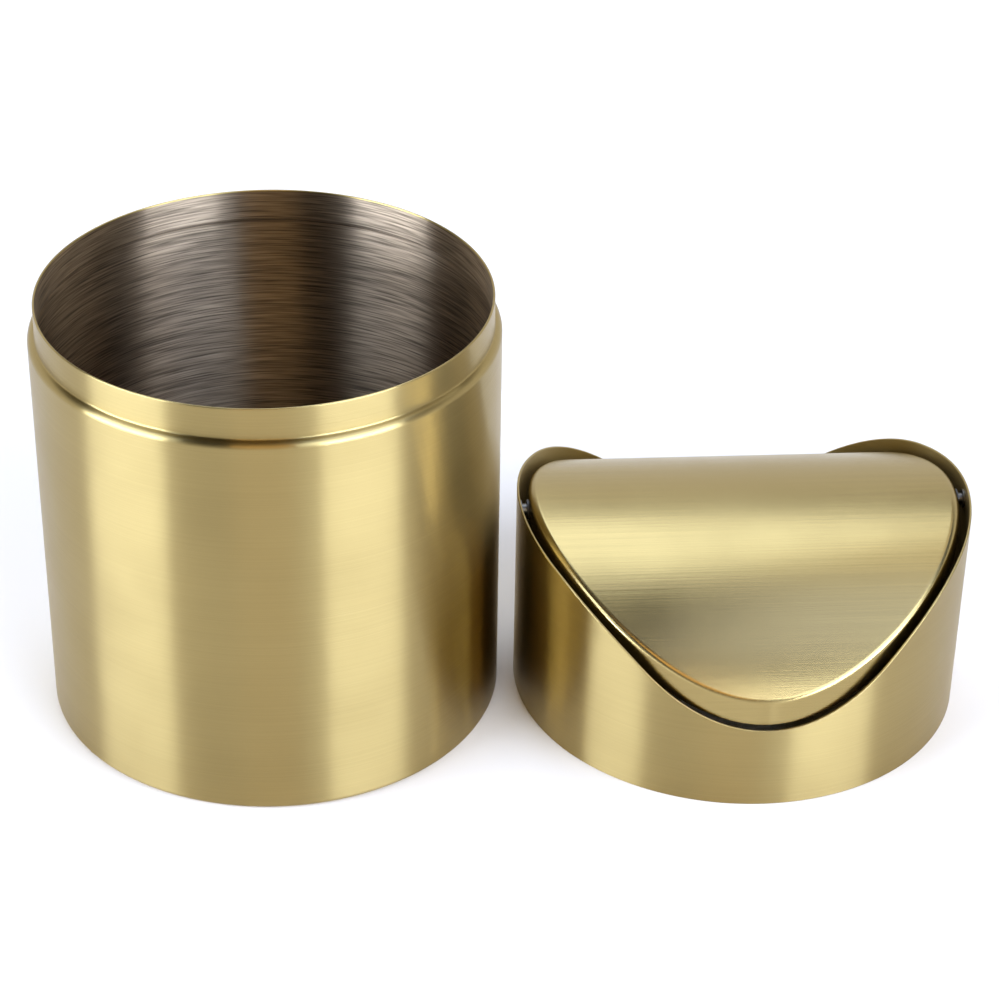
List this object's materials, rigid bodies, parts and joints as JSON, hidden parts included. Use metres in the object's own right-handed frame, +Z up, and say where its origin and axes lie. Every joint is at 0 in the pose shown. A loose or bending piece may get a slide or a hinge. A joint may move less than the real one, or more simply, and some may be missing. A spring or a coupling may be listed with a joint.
{
  "type": "countertop trash can with swing lid",
  "caption": "Small round steel bin with a necked rim, and its loose swing lid: a saddle-cut collar with a rolled flap that tips on a pivot.",
  "frame": {"origin": "centre of the can's foot, on the surface that the can and the lid stand on", "axes": "+Z up along the can's axis, +X from the can towards the lid beside it, -Y towards the viewer"},
  "size_m": [0.2445, 0.1255, 0.1178],
  "materials": {
    "gold_steel": "gold-coloured coated stainless steel, brushed round the axis",
    "gold_flap": "gold-coloured coated stainless steel, brushed along the pivot axis",
    "base_steel": "coated stainless steel, as drawn",
    "pin_steel": "bright stainless steel",
    "bush_nylon": "moulded black nylon"
  },
  "bodies": {
    "can": {"can_wall": "gold_steel", "can_base": "base_steel"},
    "lid": {"lid_collar": "gold_steel", "pivot_pin_left": "pin_steel", "pivot_pin_right": "pin_steel", "pin_clip_left": "pin_steel", "pin_clip_right": "pin_steel"},
    "flap": {"flap_panel": "gold_flap", "pivot_bush_left": "bush_nylon", "pivot_bush_right": "bush_nylon"}
  },
  "joints": [
    {"name": "lid_lift", "type": "slide", "parent": "can", "child": "lid", "axis": [0, 0, 1], "range_m": [0, 0.15]},
    {"name": "flap_swing", "type": "hinge", "parent": "lid", "child": "flap", "pos_m": [0.1245, 0.0055, 0.0535], "axis": [0.9969, 0.0785, 0], "range_deg": [-80, 80]}
  ]
}
